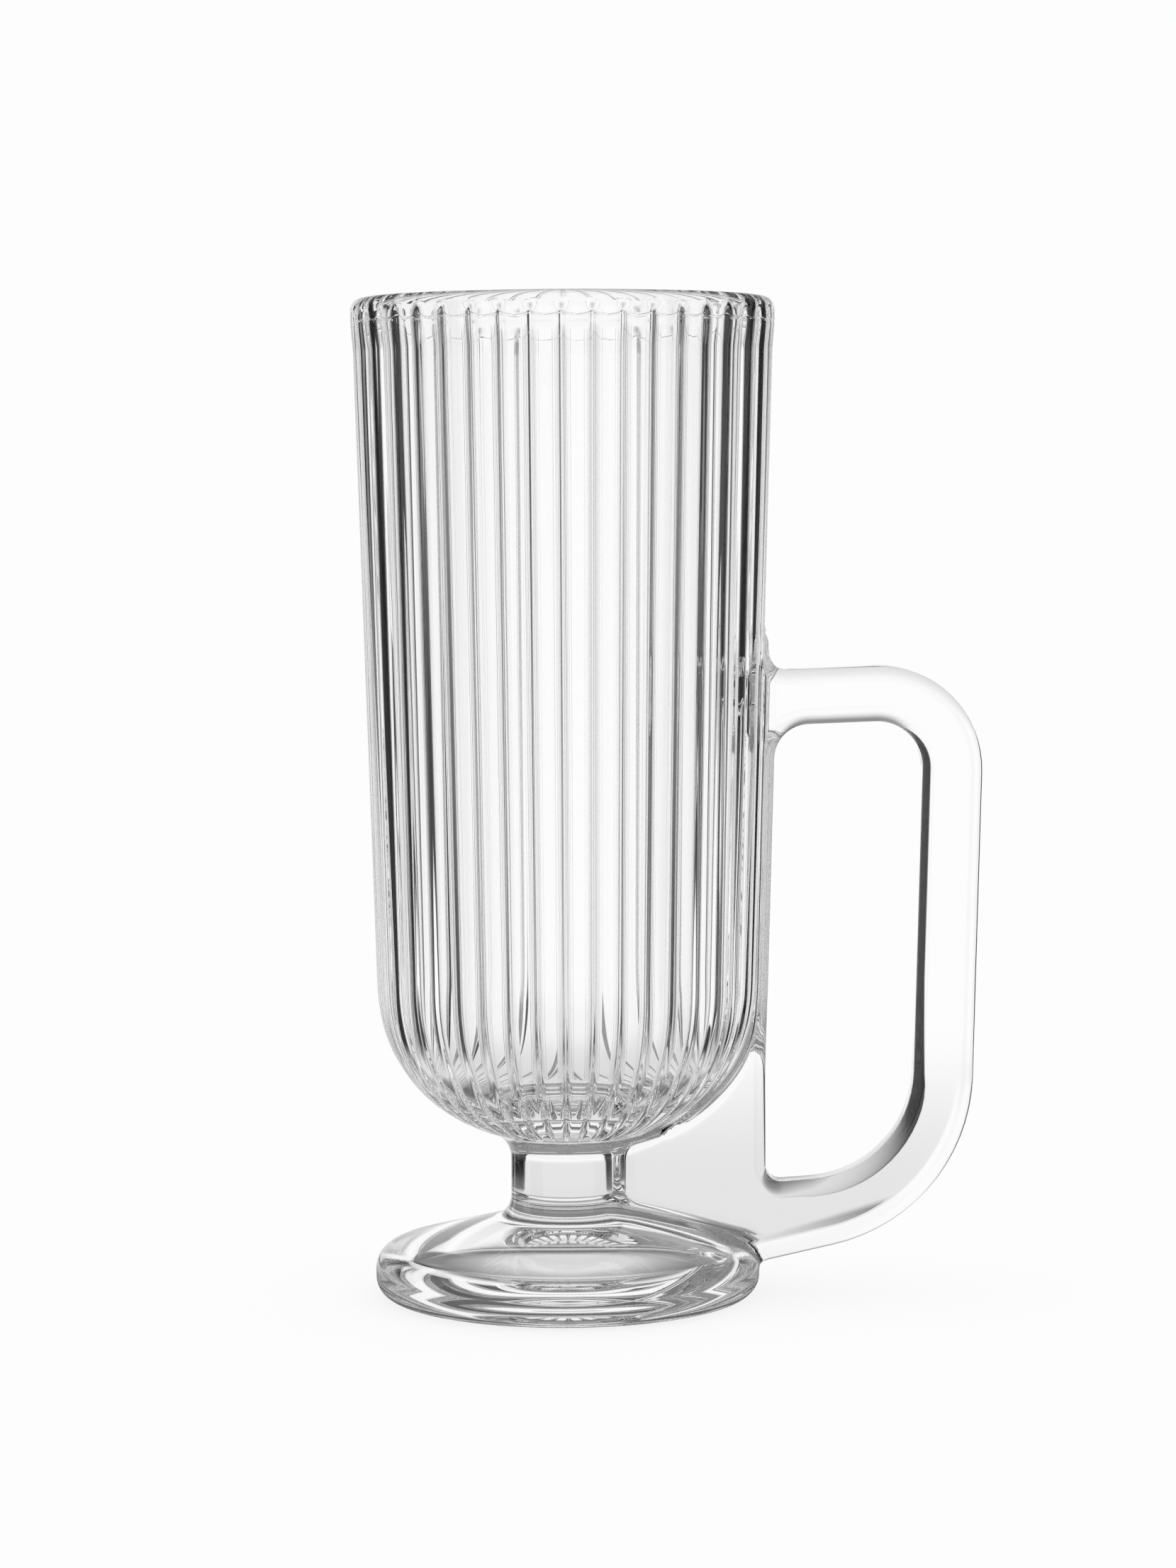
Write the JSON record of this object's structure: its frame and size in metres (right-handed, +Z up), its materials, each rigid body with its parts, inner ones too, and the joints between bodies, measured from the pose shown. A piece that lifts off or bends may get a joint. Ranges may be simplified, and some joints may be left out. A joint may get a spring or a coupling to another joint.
{
  "type": "footed glass mug",
  "caption": "Tall clear pressed-glass mug with a ribbed bowl, a short stem on a round foot and a squared loop handle with a web.",
  "frame": {"origin": "on the bowl's axis, at the level of the ring that the foot stands on", "axes": "+Z up along the bowl's axis, +X from the axis towards the handle, +Y across the handle's thickness"},
  "size_m": [0.0974, 0.0654, 0.155],
  "materials": {
    "rim_glass": "fire-polished clear glass",
    "bowl_glass": "clear pressed glass",
    "stem_glass": "clear pressed glass",
    "foot_glass": "clear pressed glass, stippled on the rest ring",
    "handle_glass": "clear pressed glass"
  },
  "bodies": {
    "root": {"rim": "rim_glass", "bowl": "bowl_glass", "stem": "stem_glass", "foot": "foot_glass", "handle": "handle_glass", "web": "handle_glass", "spine": "handle_glass"}
  },
  "joints": []
}
